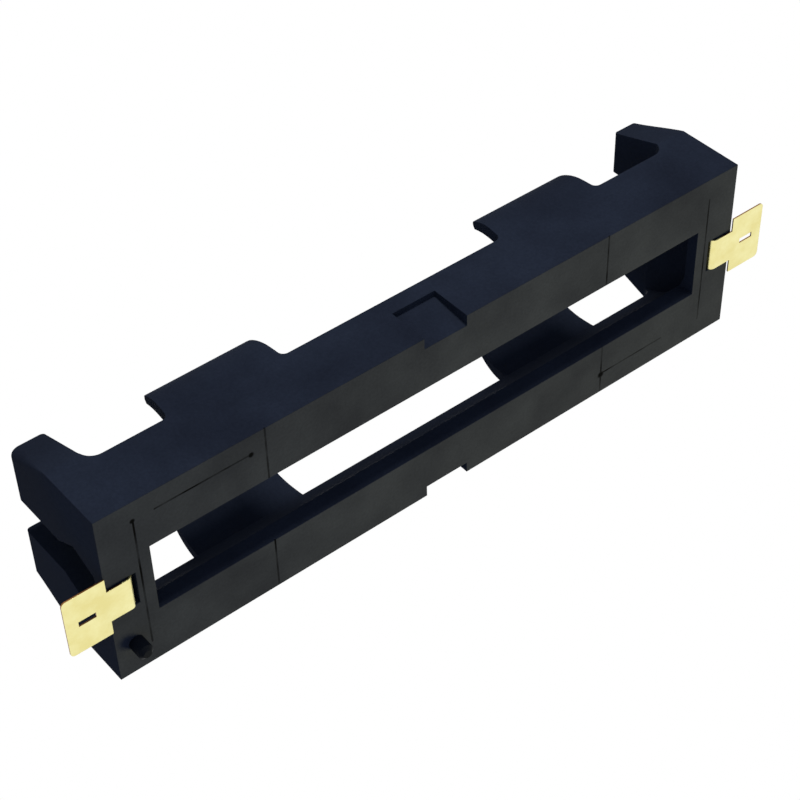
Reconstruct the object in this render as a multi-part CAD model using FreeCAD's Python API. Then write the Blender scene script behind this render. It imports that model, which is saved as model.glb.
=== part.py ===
import FreeCAD, Part
import math
import os

# Surface mount holder for one 18 mm by 65 mm cylindrical cell: a moulded housing and two formed contacts.
# Z = 0 is the board, +X runs along the cell, and the origin is the middle of the footprint.
# The holder is the same when it is turned half a turn about Z, apart from its locating peg.
V = FreeCAD.Vector
os.makedirs("parts", exist_ok=True)

# The cell that the bay is made for
cell_diameter = 18.4
cell_length = 65.2
bay_clearance = 0.05
cell_rise = 1.0

# Walls of the housing
side_wall = 1.05
end_wall = 3.7
spring_room = 2.3
floor_thickness = 1.3
rim_height = 6.65
post_height = 14.2
shoulder_height = 7.8

# Window in the base, and the bars that it leaves at both ends
window_width = 8.16
end_bar_lip = 1.26

# Posts at both ends
post_side_lean = 2.1
post_flank_lean = 0.15
post_foot_radius = 1.6
post_top_radius = 0.4
post_edge_radius = 1.0
shoulder_edge_radius = 0.05

# Slot in each end wall: open at the top, with a wider pocket lower down
slot_width = 4.1
slot_shift = 0.15
pocket_width = 7.0
pocket_top = 7.4
pocket_middle = 4.7
pocket_bottom = 1.6

# Chamber in each end wall that holds the contact's back plate
outer_wall = 2.5
chamber_width = 8.0
chamber_mouth = 6.6
mouth_sill = 6.2
neck_gap = 0.4

# Two holding arms on each long wall
arm_foot_length = 12.6
arm_pitch = 39.0
arm_shift = 0.65
arm_taper = 0.45
arm_bend_height = 8.3
arm_tip_height = 11.5
arm_lean = 1.15
arm_tip_thickness = 0.75
arm_root_radius = 0.7
arm_tip_radius = 0.3

# Finger pocket in the middle of each long wall
grip_width = 5.14
grip_height = 4.72
grip_depth = 1.25
grip_top_depth = 0.7

# Locating peg under one corner
peg_diameter = 1.6
peg_length = 1.9
peg_tip_chamfer = 0.35
peg_from_end = 2.15
peg_from_side = 3.7

# Contacts, formed from one strip
strip = 0.3
strip_fit = 0.05
neck_width = 3.8
pad_width = 7.0
pad_length = 4.4
pad_corner_radius = 0.5
tab_slot_length = 1.8
tab_slot_width = 0.6
bend_radius = 0.3
plate_width = 7.8
plate_shoulder = 0.5
crown_height = 12.6
crown_radius = 0.8
spring_width = 6.0
spring_tip_width = 4.0
spring_push = 0.7
foot_above_sill = 0.4
spring_foot_gap = 0.5
crest_roundness = 1.04
dimple_radius = 2.4
dimple_height = 0.3

# How far a cut reaches past the surface that it opens
past = 1.0

# Sizes that follow from the ones above
board_gap = strip
bay_radius = cell_diameter / 2 + bay_clearance
cell_axis = cell_diameter / 2 + cell_rise
housing_width = 2 * (bay_radius + side_wall)
bay_length = cell_length + 2 * spring_room
housing_length = bay_length + 2 * end_wall
half_width = housing_width / 2
half_length = housing_length / 2
half_bay = bay_length / 2
window_length = bay_length - 2 * end_bar_lip
plate_outside = half_length - outer_wall
plate_inside = plate_outside - strip
spring_foot_height = mouth_sill + foot_above_sill
crest_radius = crest_roundness * (crown_height - cell_axis)


def bay_side(height):
    """Half the width of the cell bay at this height."""
    return math.sqrt(bay_radius ** 2 - (cell_axis - height) ** 2)


def prism(points, along):
    """Closed straight-sided outline pushed along a direction."""
    wire = Part.makePolygon(points + [points[0]])
    return Part.Face(wire).extrude(along)


def block(x0, x1, y0, y1, z0, z1):
    """Rectangular block between two corners."""
    return Part.makeBox(x1 - x0, y1 - y0, z1 - z0, V(x0, y0, z0))


def turned(shape):
    """The same shape after half a turn about the holder's middle."""
    copy = shape.copy()
    copy.rotate(V(0, 0, 0), V(0, 0, 1), 180)
    return copy


def both_ends(shape):
    """The shape and its copy at the opposite end."""
    return [shape, turned(shape)]


def round_corner(wire_points, index, radius):
    """Start, middle and end of an arc that rounds one corner of an outline."""
    corner = wire_points[index]
    back = (wire_points[index - 1] - corner).normalize()
    ahead = (wire_points[(index + 1) % len(wire_points)] - corner).normalize()
    half_angle = back.getAngle(ahead) / 2
    reach = radius / math.tan(half_angle)
    inward = (back + ahead).normalize()
    centre = corner + inward * (radius / math.sin(half_angle))
    return corner + back * reach, centre - inward * radius, corner + ahead * reach


def rounded_face(points, radii):
    """Flat face whose corners are rounded by the radii, where 0 leaves a corner sharp."""
    edges = []
    ends = []
    for index, radius in enumerate(radii):
        if radius > 0:
            start, middle, end = round_corner(points, index, radius)
            ends.append((start, end))
            edges.append(Part.Arc(start, middle, end).toShape())
        else:
            ends.append((points[index], points[index]))
    for index in range(len(points)):
        start = ends[index][1]
        end = ends[(index + 1) % len(points)][0]
        if (end - start).Length > 1e-6:
            edges.append(Part.LineSegment(start, end).toShape())
    return Part.Face(Part.Wire(Part.__sortEdges__(edges)))


def outer_body():
    """Solid outline of the housing: upright sides, then flat ones that lean in, with softening corners."""
    narrow = half_width - post_side_lean
    x = -half_length
    points = [V(x, -half_width, shoulder_height), V(x, -narrow, post_height)]
    points += [V(x, narrow, post_height), V(x, half_width, shoulder_height)]
    upper = prism(points, V(housing_length, 0, 0))
    for end in (-half_length, half_length):
        for side in (-1, 1):
            middle = V(end, side * (half_width + narrow) / 2, (shoulder_height + post_height) / 2)
            corner = min(upper.Edges, key=lambda edge: (edge.CenterOfMass - middle).Length)
            radii = [shoulder_edge_radius, post_edge_radius]
            if corner.Vertexes[0].Z > corner.Vertexes[-1].Z:
                radii.reverse()
            upper = upper.makeFillet(radii[0], radii[1], [corner])
    lower = block(-half_length, half_length, -half_width, half_width, 0, shoulder_height)
    return lower.fuse(upper).removeSplitter()


def side_outline():
    """Side view of the housing: low walls, with a post at each end."""
    flank_top = half_bay + post_flank_lean
    points = [V(-half_length, 0, 0), V(half_length, 0, 0), V(half_length, 0, post_height)]
    points += [V(flank_top, 0, post_height), V(half_bay, 0, rim_height)]
    points += [V(-half_bay, 0, rim_height), V(-flank_top, 0, post_height), V(-half_length, 0, post_height)]
    top = post_top_radius
    foot = post_foot_radius
    face = rounded_face(points, [0, 0, top, top, foot, foot, top, top])
    face.translate(V(0, -housing_width, 0))
    return face.extrude(V(0, 2 * housing_width, 0))


def trough(length):
    """Round bed of the cell, this long."""
    return Part.makeCylinder(bay_radius, length, V(-length / 2, 0, cell_axis), V(1, 0, 0))


def cell_bay():
    """Cavities for the cell and for the springs at its ends, open at the top."""
    spring_bay = block(-half_bay, half_bay, -bay_radius, bay_radius, floor_thickness, post_height)
    above = block(-half_bay, half_bay, -bay_radius, bay_radius, cell_axis, post_height + past)
    return [trough(window_length), trough(bay_length).common(spring_bay), above]


def contact_chamber():
    """Upright chamber for a back plate, its mouth above a sill, and the slit that lets the neck out."""
    half = chamber_width / 2
    mouth = chamber_mouth / 2
    neck = neck_width / 2 + strip_fit
    inside = plate_inside - 2 * strip_fit
    top = post_height + past
    slit_end = plate_outside + strip_fit
    relief_end = plate_outside + bend_radius + strip_fit
    chamber = block(inside, plate_outside, -half, half, floor_thickness, top)
    way_in = block(half_bay - past, plate_outside, -mouth, mouth, mouth_sill, top)
    slit = block(plate_inside - neck_gap, slit_end, -neck, neck, -past, floor_thickness + past)
    relief = block(plate_inside - neck_gap, relief_end, -neck, neck, -past, bend_radius + strip_fit)
    return chamber.fuse([way_in, slit, relief])


def end_slot():
    """Cut through one end wall: a slot open at the top that widens into a pocket for the contact."""
    half_slot = slot_width / 2
    half_pocket = pocket_width / 2
    x = plate_outside - strip
    heights = [pocket_bottom, pocket_middle, pocket_top, post_height + past]
    halves = [half_slot, half_pocket, half_slot, half_slot]
    points = [V(x, slot_shift - half, height) for half, height in zip(halves, heights)]
    points += [V(x, slot_shift + half, height) for half, height in reversed(list(zip(halves, heights)))]
    return prism(points, V(outer_wall + past, 0, 0))


def grip_pocket():
    """Tapered finger pocket in the near wall, open at the base."""
    half = grip_width / 2
    outside = -half_width - past
    points = [V(-half, outside, -past), V(-half, -half_width + grip_depth, -past)]
    points += [V(-half, -half_width + grip_depth, 0), V(-half, -half_width + grip_top_depth, grip_height)]
    points += [V(-half, outside, grip_height)]
    return prism(points, V(grip_width, 0, 0))


def arc_radius(inward, upward):
    """Radius of an arc that leaves a wall upright and reaches a point this far in and up."""
    return (inward ** 2 + upward ** 2) / (2 * inward)


def arm_section():
    """End view of a near arm: it rises with the wall and then leans in over the cell."""
    rise = arm_tip_height - arm_bend_height
    outer_radius = arc_radius(arm_lean, rise)
    tip_angle = math.asin(rise / outer_radius)
    inner_start = -bay_side(arm_bend_height)
    tip_outer = V(0, -half_width + arm_lean, arm_tip_height)
    across = V(0, math.cos(tip_angle), -math.sin(tip_angle))
    tip_inner = tip_outer + across * arm_tip_thickness
    inner_rise = tip_inner.z - arm_bend_height
    inner_radius = arc_radius(tip_inner.y - inner_start, inner_rise)
    inner_angle = math.asin(inner_rise / inner_radius)

    def arc(wall, radius, angle):
        points = []
        for share in (0, 0.5, 1):
            y = wall + radius - radius * math.cos(angle * share)
            points.append(V(0, y, arm_bend_height + radius * math.sin(angle * share)))
        return Part.Arc(*points).toShape()

    root = rim_height - 2 * arm_root_radius
    outer = [V(0, -half_width, root), V(0, -half_width, arm_bend_height)]
    inner = [V(0, inner_start, root), V(0, inner_start, arm_bend_height)]
    edges = [Part.LineSegment(*outer).toShape(), Part.LineSegment(*inner).toShape()]
    edges.append(arc(-half_width, outer_radius, tip_angle))
    edges.append(arc(inner_start, inner_radius, inner_angle))
    edges.append(Part.LineSegment(tip_outer, tip_inner).toShape())
    edges.append(Part.LineSegment(outer[0], inner[0]).toShape())
    return Part.Face(Part.Wire(Part.__sortEdges__(edges)))


def arm_outline(centre):
    """Side view of an arm: a tapered tongue with rounded roots."""
    foot = arm_foot_length / 2
    flare = 2 * arm_root_radius
    low = rim_height - arm_root_radius
    points = [V(centre - foot - flare, 0, low), V(centre - foot - flare, 0, rim_height)]
    points += [V(centre - foot, 0, rim_height), V(centre - foot + arm_taper, 0, arm_tip_height)]
    points += [V(centre + foot - arm_taper, 0, arm_tip_height), V(centre + foot, 0, rim_height)]
    points += [V(centre + foot + flare, 0, rim_height), V(centre + foot + flare, 0, low)]
    root = arm_root_radius
    tip = arm_tip_radius
    face = rounded_face(points, [0, 0, root, tip, tip, root, 0, 0])
    face.translate(V(0, -housing_width, 0))
    return face.extrude(V(0, 2 * housing_width, 0))


def near_arms():
    """The two arms of the near wall."""
    arms = []
    for side in (-1, 1):
        centre = side * arm_pitch / 2 - arm_shift
        face = arm_section()
        face.translate(V(centre - arm_foot_length, 0, 0))
        tongue = face.extrude(V(2 * arm_foot_length, 0, 0))
        arms.append(tongue.common(arm_outline(centre)))
    return arms


def locating_peg():
    """Round peg under the far left corner, with a chamfered tip."""
    peg = Part.makeCylinder(peg_diameter / 2, peg_length + floor_thickness / 2, V(0, 0, -peg_length))
    tip = [edge for edge in peg.Edges if edge.BoundBox.ZMax < -peg_length + 1e-6]
    peg = peg.makeChamfer(peg_tip_chamfer, tip)
    peg.translate(V(-half_length + peg_from_end, half_width - peg_from_side, 0))
    return peg


def make_housing():
    """Whole moulded housing, with its underside at Z = 0."""
    body = outer_body().common(side_outline())
    half = window_length / 2
    window = block(-half, half, -window_width / 2, window_width / 2, -past, cell_axis)
    cuts = cell_bay() + [window]
    for one_end in (end_slot(), contact_chamber(), grip_pocket()):
        cuts += both_ends(one_end)
    body = body.cut(cuts)
    low = block(-half_length, half_length, -half_width, half_width, 0, arm_bend_height)
    low_trough = trough(bay_length).common(low)
    arms = []
    for arm in near_arms():
        arms += both_ends(arm.cut(low_trough))
    return body.fuse(arms + [locating_peg()]).removeSplitter()


def rounded_line(points, radii):
    """Open line of straight runs joined by arcs, one radius for each inner corner."""
    edges = []
    start = points[0]
    for index, radius in enumerate(radii, 1):
        arc_start, middle, arc_end = round_corner(points, index, radius)
        edges.append(Part.LineSegment(start, arc_start).toShape())
        edges.append(Part.Arc(arc_start, middle, arc_end).toShape())
        start = arc_end
    edges.append(Part.LineSegment(start, points[-1]).toShape())
    return Part.Wire(edges)


def spring_crest():
    """Place of the spring's crest before its bend is rounded, so that the dimple on it pushes on the cell."""
    middle = strip / 2
    front = plate_outside - middle - 2 * crown_radius
    foot = plate_inside - spring_foot_gap - middle
    wanted = cell_length / 2 - spring_push + dimple_height + middle
    crest = wanted
    for step in range(6):
        upper_slope = math.atan((front - crest) / (crown_height - cell_axis))
        lower_slope = math.atan((foot - crest) / (cell_axis - spring_foot_height))
        half_angle = (math.pi - upper_slope - lower_slope) / 2
        crest = wanted - crest_radius * (1 / math.sin(half_angle) - 1)
    return crest


def strip_section():
    """Side view of the bent strip: tab, bend, back plate, crown and bowed spring."""
    middle = strip / 2
    back = plate_outside - middle
    front = back - 2 * crown_radius
    foot = plate_inside - spring_foot_gap - middle
    points = [V(half_length + pad_length, 0, -middle), V(back, 0, -middle), V(back, 0, crown_height)]
    points += [V(front, 0, crown_height), V(spring_crest(), 0, cell_axis), V(foot, 0, spring_foot_height)]
    radii = [bend_radius + middle, crown_radius, crown_radius, crest_radius]
    line = rounded_line(points, radii)
    return line.makeOffset2D(middle, 0, True, True, False)


def tab_outline():
    """Plan of the tab: a narrow neck, then the wide solder pad with its small slot."""
    half_neck = neck_width / 2
    half_pad = pad_width / 2
    x0 = plate_outside - past
    x2 = half_length + pad_length
    points = [V(x0, -half_neck, 0), V(half_length, -half_neck, 0), V(half_length, -half_pad, 0)]
    points += [V(x2, -half_pad, 0), V(x2, half_pad, 0), V(half_length, half_pad, 0)]
    points += [V(half_length, half_neck, 0), V(x0, half_neck, 0)]
    corner = pad_corner_radius
    face = rounded_face(points, [0, 0, 0, corner, corner, 0, 0, 0])
    face.translate(V(0, 0, -past))
    tab = face.extrude(V(0, 0, 2 * past))
    x = half_length + pad_length / 2
    a = tab_slot_length / 2
    b = tab_slot_width / 2
    return tab.cut(block(x - a, x + a, -b, b, -past, past))


def plate_outline():
    """Front view of the back plate: it widens above the base to fill its chamber."""
    half_neck = neck_width / 2
    half_plate = plate_width / 2
    low = floor_thickness + plate_shoulder
    points = [V(0, -half_neck, -past), V(0, half_neck, -past), V(0, half_neck, low)]
    points += [V(0, half_plate, low), V(0, half_plate, crown_height - crown_radius)]
    points += [V(0, -half_plate, crown_height - crown_radius), V(0, -half_plate, low), V(0, -half_neck, low)]
    face = rounded_face(points, [0, 0, 0, plate_shoulder, plate_shoulder, plate_shoulder, plate_shoulder, 0])
    face.translate(V(plate_inside, 0, 0))
    return face.extrude(V(strip + bend_radius, 0, 0))


def spring_outline():
    """Front view of the spring: full width over the crown, narrower towards its free foot."""
    half_spring = spring_width / 2
    half_tip = spring_tip_width / 2
    top = crown_height + past
    points = [V(0, -half_spring, top), V(0, -half_spring, cell_axis), V(0, -half_tip, 0)]
    points += [V(0, half_tip, 0), V(0, half_spring, cell_axis), V(0, half_spring, top)]
    wide = prism(points, V(plate_outside, 0, 0))
    behind = block(plate_inside, plate_outside, -half_spring, half_spring, 0, crown_height - crown_radius)
    return wide.cut(behind)


def make_contact():
    """Contact of the right end, formed from one strip of even thickness."""
    face = strip_section()
    face.translate(V(0, -plate_width / 2, 0))
    sheet = face.extrude(V(0, plate_width, 0))
    bend_end = plate_outside + bend_radius
    far = half_length + pad_length + past
    tab_part = block(bend_end, far, -plate_width, plate_width, -past, past)
    tab = sheet.common(tab_part).common(tab_outline())
    plate = sheet.common(plate_outline())
    spring = sheet.common(spring_outline())
    contact = plate.fuse([tab, spring]).removeSplitter()
    crest_face = cell_length / 2 - spring_push + dimple_height
    bump_centre = V(crest_face - dimple_height + dimple_radius, 0, cell_axis)
    spring_zone = block(crest_face - past, crest_face + past, -dimple_radius, dimple_radius, 0, crown_height)
    skin_zone = block(crest_face - past, crest_face + strip, -dimple_radius, dimple_radius, 0, crown_height)
    bump = Part.makeSphere(dimple_radius, bump_centre).common(skin_zone)
    hollow = Part.makeSphere(dimple_radius - strip, bump_centre).common(spring_zone)
    return contact.fuse(bump).cut(hollow).removeSplitter()


def write(shape, name):
    """Set a piece on the board by the thickness of its tabs and write it."""
    shape.translate(V(0, 0, board_gap))
    shape.exportStep("parts/" + name + ".step")
    print(name, shape.isValid(), len(shape.Solids), round(shape.Volume, 3), shape.BoundBox)


contact = make_contact()
write(make_housing(), "housing")
write(contact.copy(), "contact_right")
write(turned(contact), "contact_left")
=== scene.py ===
import math

import bpy
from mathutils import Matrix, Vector


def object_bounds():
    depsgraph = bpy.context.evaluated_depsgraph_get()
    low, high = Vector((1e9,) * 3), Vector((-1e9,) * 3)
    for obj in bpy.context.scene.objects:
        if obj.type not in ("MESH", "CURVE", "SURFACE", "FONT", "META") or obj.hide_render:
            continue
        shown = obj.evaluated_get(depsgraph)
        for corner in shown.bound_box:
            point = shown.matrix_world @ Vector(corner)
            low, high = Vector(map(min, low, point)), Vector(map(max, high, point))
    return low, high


# The looks of a surface mount cell holder: a black moulded housing and two gold-plated spring contacts.
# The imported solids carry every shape. This script adds their finishes, the floor, the lamps and the camera.

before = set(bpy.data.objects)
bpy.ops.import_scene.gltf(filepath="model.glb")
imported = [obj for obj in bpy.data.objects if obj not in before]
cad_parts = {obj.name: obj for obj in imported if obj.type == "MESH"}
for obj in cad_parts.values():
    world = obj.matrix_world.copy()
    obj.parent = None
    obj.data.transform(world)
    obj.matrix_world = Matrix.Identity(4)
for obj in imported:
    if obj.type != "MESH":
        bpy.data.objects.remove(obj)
cad_low, cad_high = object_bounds()

MM = 0.001

# Camera, from a fit to the housing's corners: its place in millimetres and its angles in degrees, then its
# sensor, its lens and the nearest distance that it sees, in millimetres
CAMERA_PLACE = (-87.321, -129.135, -104.838)
CAMERA_ANGLES = (137.894, 39.015, 1.613)
SENSOR_WIDTH = 36.0
LENS = 88.13
CLIP_START = 5.0

# Each lamp: name, place in metres, side in metres, watts, colour, and whether gloss shows it
LAMPS = (
    ("key lamp", (0.35, 0.75, 0.75), 0.60, 15.0, "#FFFFFF", True),
    ("fill lamp", (0.03, -0.50, 0.02), 0.12, 1.22, "#F2F7FF", True),
    ("underside lamp", (0.11, 0.11, -0.22), 0.12, 1.10, "#FFE9A2", False),
)

# Soft light of the room: its colour, and its strength from straight below and from straight above
ROOM_LIGHT = "#C8DAFF"
ROOM_BELOW = 0.50
ROOM_ABOVE = 0.06

# Floor in metres: half its side, and the distances from the middle between which it fades out
FLOOR_HALF = 0.5
FADE_START = 0.12
FADE_END = 0.45
# Gap in millimetres between the floor and the lowest point of the part
FLOOR_GAP = 0.05

# Levels in millimetres: the housing's underside, and one just under it that only the peg reaches
UNDERSIDE = 0.3
PEG_LEVEL = 0.28
# The solder tabs lie further than this from the middle, in millimetres
TAB_START = 37.0

# Mould insert lines on the underside, in millimetres: x from and to, y from and to
INSERT_LINES = (
    (-20.75, -20.75, -10.3, -4.0),
    (-20.75, -20.75, 4.0, 10.3),
    (20.75, 20.75, -10.3, -4.0),
    (20.75, 20.75, 4.0, 10.3),
    (-32.6, -22.3, -8.1, -8.1),
    (21.0, 29.4, 7.75, 7.75),
    (-34.85, -34.85, -8.1, 7.7),
    (34.85, 34.85, -7.7, 8.1),
)
LINE_HALF_WIDTH = 0.1
LINE_DEPTH = 0.03
# Small pits at the ends of those lines: x, y, radius
PITS = (
    (-22.4, -8.05, 0.28),
    (20.75, 7.9, 0.38),
    (-34.9, -8.1, 0.25),
)

# The part of its range that a noise texture mostly keeps to
NOISE_LOW = 0.35
NOISE_HIGH = 0.65

# Where a Mix node of colours takes its two colours and gives the result
FIRST = 6
SECOND = 7
MIXED = 2


def linear(hex_colour):
    """Linear colour of an sRGB hex value."""
    channels = [int(hex_colour[i:i + 2], 16) / 255 for i in (1, 3, 5)]
    curve = [c / 12.92 if c <= 0.04045 else ((c + 0.055) / 1.055) ** 2.4 for c in channels]
    return (*curve, 1.0)


def add(tree, kind, settings=None, inputs=None):
    """A node of this kind with its settings and its inputs, each a value or the socket that feeds it."""
    node = tree.nodes.new(kind)
    for name, value in (settings or {}).items():
        setattr(node, name, value)
    for name, value in (inputs or {}).items():
        if isinstance(value, bpy.types.NodeSocket):
            tree.links.new(value, node.inputs[name])
        else:
            node.inputs[name].default_value = value
    return node


def new_material(name):
    """An empty material, its node tree and its output node."""
    material = bpy.data.materials.new(name)
    material.use_nodes = True
    material.node_tree.nodes.clear()
    output = add(material.node_tree, "ShaderNodeOutputMaterial")
    return material, material.node_tree, output


def place_in_mm(tree):
    """Socket with the place on the part in millimetres."""
    place = add(tree, "ShaderNodeTexCoord").outputs["Object"]
    scaled = add(tree, "ShaderNodeVectorMath", {"operation": "SCALE"}, {0: place, "Scale": 1 / MM})
    return scaled.outputs["Vector"]


def distance_to_mark(tree, place, centre, half_size):
    """Socket with the distance in millimetres from a flat rectangular mark."""
    offset = add(tree, "ShaderNodeVectorMath", {"operation": "SUBTRACT"}, {0: place, 1: centre})
    size = add(tree, "ShaderNodeVectorMath", {"operation": "ABSOLUTE"}, {0: offset.outputs["Vector"]})
    past = add(tree, "ShaderNodeVectorMath", {"operation": "SUBTRACT"},
               {0: size.outputs["Vector"], 1: half_size})
    outside = add(tree, "ShaderNodeVectorMath", {"operation": "MAXIMUM"},
                  {0: past.outputs["Vector"], 1: (0, 0, 0)})
    distance = add(tree, "ShaderNodeVectorMath", {"operation": "LENGTH"}, {0: outside.outputs["Vector"]})
    return distance.outputs["Value"]


def marks_mask(tree, place, marks):
    """Socket that is 1 in the marks and 0 elsewhere. A mark is the x and y of its middle, half its length
    along each of them and half its width."""
    nearest = 10.0
    for x, y, half_x, half_y, half_width in marks:
        distance = distance_to_mark(tree, place, (x, y, UNDERSIDE), (half_x, half_y, 0))
        share = add(tree, "ShaderNodeMath", {"operation": "DIVIDE"}, {0: distance, 1: half_width})
        smallest = add(tree, "ShaderNodeMath", {"operation": "MINIMUM"}, {0: nearest, 1: share.outputs[0]})
        nearest = smallest.outputs[0]
    soft_edge = 0.4
    mask = add(tree, "ShaderNodeMapRange", {"interpolation_type": "SMOOTHSTEP"},
               {"Value": nearest, "From Min": 1 - soft_edge, "From Max": 1 + soft_edge,
                "To Min": 1.0, "To Max": 0.0})
    return mask.outputs["Result"]


def insert_marks(tree, place):
    """Socket that is 1 in the pits of the underside and up to 1 in its fine lines, which come and go."""
    lines = [((x0 + x1) / 2, (y0 + y1) / 2, (x1 - x0) / 2, (y1 - y0) / 2, LINE_HALF_WIDTH)
             for x0, x1, y0, y1 in INSERT_LINES]
    pits = [(x, y, 0, 0, radius) for x, y, radius in PITS]
    fade_length = 3.0
    faintest = 0.4
    fade = add(tree, "ShaderNodeTexNoise", None,
               {"Vector": place, "Scale": 1 / fade_length, "Detail": 2.0}).outputs["Fac"]
    depth = add(tree, "ShaderNodeMapRange", None,
                {"Value": fade, "From Min": NOISE_LOW, "From Max": NOISE_HIGH,
                 "To Min": faintest, "To Max": 1.0})
    faded = add(tree, "ShaderNodeMath", {"operation": "MULTIPLY"},
                {0: marks_mask(tree, place, lines), 1: depth.outputs["Result"]})
    both = add(tree, "ShaderNodeMath", {"operation": "MAXIMUM"},
               {0: faded.outputs[0], 1: marks_mask(tree, place, pits)})
    return both.outputs[0]


def peg_mask(tree, place):
    """Socket that is 1 on the locating peg, which alone reaches below the underside, and 0 elsewhere."""
    height = add(tree, "ShaderNodeSeparateXYZ", None, {"Vector": place}).outputs["Z"]
    return add(tree, "ShaderNodeMath", {"operation": "LESS_THAN"}, {0: height, 1: PEG_LEVEL}).outputs[0]


def moulded_glass_filled_nylon():
    """Black glass-filled nylon, injection moulded in a spark-eroded tool: a fine matt grain that takes the
    gloss off, cloudy flow marks where the melt cooled, and hairlines where the tool's inserts meet. The peg
    comes out of a drilled hole, so it is smoother. Its colour is also painted darker, as painted shade for
    the shadow on its side."""
    material, tree, output = new_material("moulded glass-filled nylon")
    place = place_in_mm(tree)
    marks = insert_marks(tree, place)
    peg = peg_mask(tree, place)

    flow_length = 9.0
    flow = add(tree, "ShaderNodeTexNoise", None,
               {"Vector": place, "Scale": 1 / flow_length, "Detail": 3.0, "Roughness": 0.55}).outputs["Fac"]
    clouds = add(tree, "ShaderNodeMapRange", None,
                 {"Value": flow, "From Min": NOISE_LOW, "From Max": NOISE_HIGH}).outputs["Result"]

    # The real grain is about 0.05 mm, which is too fine to show, so it is drawn at 0.3 mm
    grain_size = 0.3
    grain = add(tree, "ShaderNodeTexNoise", None,
                {"Vector": place, "Scale": 1 / grain_size, "Detail": 2.0, "Roughness": 0.6}).outputs["Fac"]
    speckle = add(tree, "ShaderNodeMapRange", None,
                  {"Value": grain, "From Min": 0.3, "From Max": 0.7, "To Min": 0.91, "To Max": 1.08})

    clouded = add(tree, "ShaderNodeMix", {"data_type": "RGBA"},
                  {"Factor": clouds, FIRST: linear("#242832"), SECOND: linear("#2D323D")}).outputs[MIXED]
    grained = add(tree, "ShaderNodeVectorMath", {"operation": "SCALE"},
                  {0: clouded, "Scale": speckle.outputs["Result"]}).outputs["Vector"]
    lined = add(tree, "ShaderNodeMix", {"data_type": "RGBA"},
                {"Factor": marks, FIRST: grained, SECOND: linear("#050607")}).outputs[MIXED]
    # The peg's darker colour is painted shade, standing in for the shadow on its side; its lower roughness
    # below is its smoother finish.
    colour = add(tree, "ShaderNodeMix", {"data_type": "RGBA"},
                 {"Factor": peg, FIRST: lined, SECOND: linear("#11141A")}).outputs[MIXED]

    matt = add(tree, "ShaderNodeMapRange", None,
               {"Value": clouds, "To Min": 0.78, "To Max": 0.88}).outputs["Result"]
    roughness = add(tree, "ShaderNodeMapRange", None,
                    {"Value": peg, "To Min": matt, "To Max": 0.4}).outputs["Result"]

    edge_radius = 0.12
    grain_depth = 0.02
    rounded = add(tree, "ShaderNodeBevel", {"samples": 6}, {"Radius": edge_radius * MM}).outputs["Normal"]
    textured = add(tree, "ShaderNodeBump", None,
                   {"Strength": 0.35, "Distance": grain_depth * MM, "Height": grain, "Normal": rounded})
    grooved = add(tree, "ShaderNodeBump", {"invert": True},
                  {"Strength": 0.6, "Distance": LINE_DEPTH * MM, "Height": marks,
                   "Normal": textured.outputs["Normal"]})

    plastic = add(tree, "ShaderNodeBsdfPrincipled", None,
                  {"Base Color": colour, "Roughness": roughness, "IOR": 1.5, "Specular IOR Level": 0.015,
                   "Normal": grooved.outputs["Normal"]})
    tree.links.new(plastic.outputs["BSDF"], output.inputs["Surface"])
    return material


def tab_edge_mask(tree, place):
    """Socket that is 1 on the sheared edges of the solder tabs and of their slots, and 0 elsewhere."""
    along = add(tree, "ShaderNodeSeparateXYZ", None, {"Vector": place}).outputs["X"]
    reach = add(tree, "ShaderNodeMath", {"operation": "ABSOLUTE"}, {0: along}).outputs[0]
    on_tab = add(tree, "ShaderNodeMath", {"operation": "GREATER_THAN"}, {0: reach, 1: TAB_START}).outputs[0]
    normal = add(tree, "ShaderNodeNewGeometry").outputs["True Normal"]
    upward = add(tree, "ShaderNodeSeparateXYZ", None, {"Vector": normal}).outputs["Z"]
    flatness = add(tree, "ShaderNodeMath", {"operation": "ABSOLUTE"}, {0: upward}).outputs[0]
    upright = add(tree, "ShaderNodeMath", {"operation": "LESS_THAN"}, {0: flatness, 1: 0.5}).outputs[0]
    return add(tree, "ShaderNodeMath", {"operation": "MULTIPLY"}, {0: on_tab, 1: upright}).outputs[0]


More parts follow.
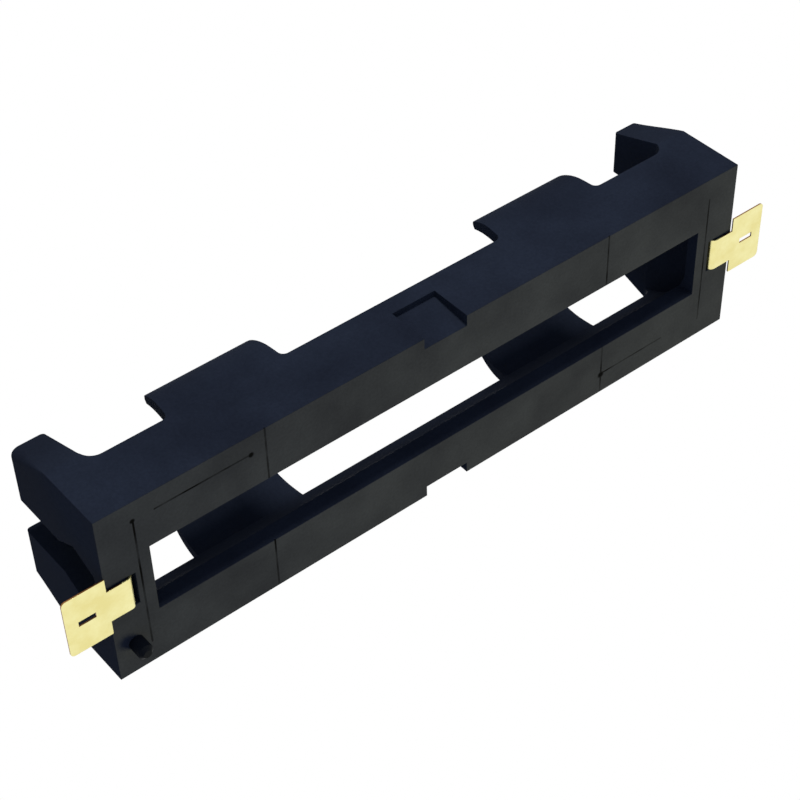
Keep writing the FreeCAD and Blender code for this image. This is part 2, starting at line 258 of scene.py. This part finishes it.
def gold_plated_phosphor_bronze():
    """Rolled phosphor bronze strip under a thin pale gold plate: a satin sheen with faint rolling lines
    along the strip and a slightly cloudy tone. The tabs' sheared edges have no plate, so they are brown."""
    material, tree, output = new_material("gold-plated phosphor bronze")
    place = place_in_mm(tree)

    cloud_size = 2.5
    cloud = add(tree, "ShaderNodeTexNoise", None,
                {"Vector": place, "Scale": 1 / cloud_size, "Detail": 3.0, "Roughness": 0.6}).outputs["Fac"]
    tone = add(tree, "ShaderNodeMapRange", None,
               {"Value": cloud, "From Min": NOISE_LOW, "From Max": NOISE_HIGH}).outputs["Result"]

    # Rolling lines run along the strip, so they are fine across it and long in both other directions. The
    # real ones are about 0.02 mm apart, which is too fine to show, so they are drawn 0.12 mm apart.
    line_pitch = 0.12
    line_length = 8.0
    stretch = (1 / line_length, 1 / line_pitch, 1 / line_length)
    stretched = add(tree, "ShaderNodeVectorMath", {"operation": "MULTIPLY"}, {0: place, 1: stretch})
    rolling = add(tree, "ShaderNodeTexNoise", None,
                  {"Vector": stretched.outputs["Vector"], "Scale": 1.0, "Detail": 2.0}).outputs["Fac"]

    plated = add(tree, "ShaderNodeMix", {"data_type": "RGBA"},
                 {"Factor": tone, FIRST: linear("#EEE39A"), SECOND: linear("#F8F1B1")}).outputs[MIXED]
    colour = add(tree, "ShaderNodeMix", {"data_type": "RGBA"},
                 {"Factor": tab_edge_mask(tree, place), FIRST: plated,
                  SECOND: linear("#8A6038")}).outputs[MIXED]
    roughness = add(tree, "ShaderNodeMapRange", None,
                    {"Value": rolling, "To Min": 0.28, "To Max": 0.42}).outputs["Result"]

    edge_radius = 0.05
    line_depth = 0.005
    rounded = add(tree, "ShaderNodeBevel", {"samples": 4}, {"Radius": edge_radius * MM}).outputs["Normal"]
    lined = add(tree, "ShaderNodeBump", None,
                {"Strength": 0.15, "Distance": line_depth * MM, "Height": rolling, "Normal": rounded})

    metal = add(tree, "ShaderNodeBsdfPrincipled", None,
                {"Base Color": colour, "Metallic": 1.0, "Roughness": roughness,
                 "Normal": lined.outputs["Normal"]})
    tree.links.new(metal.outputs["BSDF"], output.inputs["Surface"])
    return material


def pale_floor():
    """Pale matt floor that is seen only from above, so that the underside of the part can be seen and lit.
    It fades into the white surroundings away from the part."""
    material, tree, output = new_material("pale matt floor")
    matt = add(tree, "ShaderNodeBsdfDiffuse", None, {"Color": linear("#F2F2F0")})
    clear = add(tree, "ShaderNodeBsdfTransparent")
    camera_ray = add(tree, "ShaderNodeLightPath").outputs["Is Camera Ray"]
    below = add(tree, "ShaderNodeNewGeometry").outputs["Backfacing"]
    seen = add(tree, "ShaderNodeMath", {"operation": "SUBTRACT", "use_clamp": True},
               {0: camera_ray, 1: below})
    place = add(tree, "ShaderNodeTexCoord").outputs["Object"]
    distance = add(tree, "ShaderNodeVectorMath", {"operation": "LENGTH"}, {0: place}).outputs["Value"]
    near = add(tree, "ShaderNodeMapRange", {"interpolation_type": "SMOOTHSTEP"},
               {"Value": distance, "From Min": FADE_START, "From Max": FADE_END,
                "To Min": 1.0, "To Max": 0.0})
    share = add(tree, "ShaderNodeMath", {"operation": "MULTIPLY"},
                {0: seen.outputs[0], 1: near.outputs["Result"]})
    mix = add(tree, "ShaderNodeMixShader", None,
              {"Fac": share.outputs[0], 1: clear.outputs["BSDF"], 2: matt.outputs["BSDF"]})
    tree.links.new(mix.outputs["Shader"], output.inputs["Surface"])
    return material


def make_floor():
    """Large floor just under the lowest point of the part."""
    height = cad_low.z - FLOOR_GAP * MM
    turns = ((-1, -1), (1, -1), (1, 1), (-1, 1))
    corners = [(x * FLOOR_HALF, y * FLOOR_HALF, height) for x, y in turns]
    mesh = bpy.data.meshes.new("floor")
    mesh.from_pydata(corners, [], [(0, 1, 2, 3)])
    mesh.materials.append(pale_floor())
    floor = bpy.data.objects.new("floor", mesh)
    bpy.context.collection.objects.link(floor)


def make_room():
    """White surroundings for the camera and for the reflections that it sees. Everything else gets a soft
    light that comes more from below than from above."""
    world = bpy.data.worlds.new("studio")
    world.use_nodes = True
    tree = world.node_tree
    tree.nodes.clear()

    path = add(tree, "ShaderNodeLightPath")
    sharp = add(tree, "ShaderNodeMath", {"operation": "MAXIMUM"},
                {0: path.outputs["Is Camera Ray"], 1: path.outputs["Is Glossy Ray"]})
    clear = add(tree, "ShaderNodeMath", {"operation": "MAXIMUM"},
                {0: sharp.outputs[0], 1: path.outputs["Is Transmission Ray"]})
    seen = add(tree, "ShaderNodeMath", {"operation": "SUBTRACT", "use_clamp": True},
               {0: clear.outputs[0], 1: path.outputs["Diffuse Depth"]})
    white = add(tree, "ShaderNodeBackground", None, {"Color": (1, 1, 1, 1), "Strength": 1.0})

    direction = add(tree, "ShaderNodeTexCoord").outputs["Generated"]
    height = add(tree, "ShaderNodeSeparateXYZ", None, {"Vector": direction}).outputs["Z"]
    strength = add(tree, "ShaderNodeMapRange", None,
                   {"Value": height, "From Min": -1.0, "From Max": 1.0,
                    "To Min": ROOM_BELOW, "To Max": ROOM_ABOVE})
    soft = add(tree, "ShaderNodeBackground", None,
               {"Color": linear(ROOM_LIGHT), "Strength": strength.outputs["Result"]})

    mix = add(tree, "ShaderNodeMixShader", None,
              {"Fac": seen.outputs[0], 1: soft.outputs["Background"], 2: white.outputs["Background"]})
    add(tree, "ShaderNodeOutputWorld", None, {"Surface": mix.outputs["Shader"]})
    bpy.context.scene.world = world


def make_lamp(name, place, side, watts, colour, in_gloss):
    """Square soft lamp that points at the part."""
    lamp = bpy.data.lights.new(name, "AREA")
    lamp.shape = "SQUARE"
    lamp.size = side
    lamp.energy = watts
    lamp.color = linear(colour)[:3]
    holder = bpy.data.objects.new(name, lamp)
    holder.location = place
    holder.rotation_euler = (-Vector(place)).to_track_quat("-Z", "Y").to_euler()
    holder.visible_camera = False
    holder.visible_glossy = in_gloss
    bpy.context.collection.objects.link(holder)


def make_camera():
    """Camera at the fitted place."""
    data = bpy.data.cameras.new("camera")
    data.sensor_width = SENSOR_WIDTH
    data.lens = LENS
    data.clip_start = CLIP_START * MM
    camera = bpy.data.objects.new("camera", data)
    camera.location = Vector(CAMERA_PLACE) * MM
    camera.rotation_euler = [math.radians(angle) for angle in CAMERA_ANGLES]
    bpy.context.collection.objects.link(camera)
    bpy.context.scene.camera = camera


def finish_nodes(names, material):
    """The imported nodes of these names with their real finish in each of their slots."""
    for name in names:
        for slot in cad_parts[name].material_slots:
            slot.material = material


finish_nodes(["housing"], moulded_glass_filled_nylon())
finish_nodes(["contact_left", "contact_right"], gold_plated_phosphor_bronze())
make_room()
make_floor()
for lamp in LAMPS:
    make_lamp(*lamp)
make_camera()
bpy.context.scene.view_settings.view_transform = "Standard"
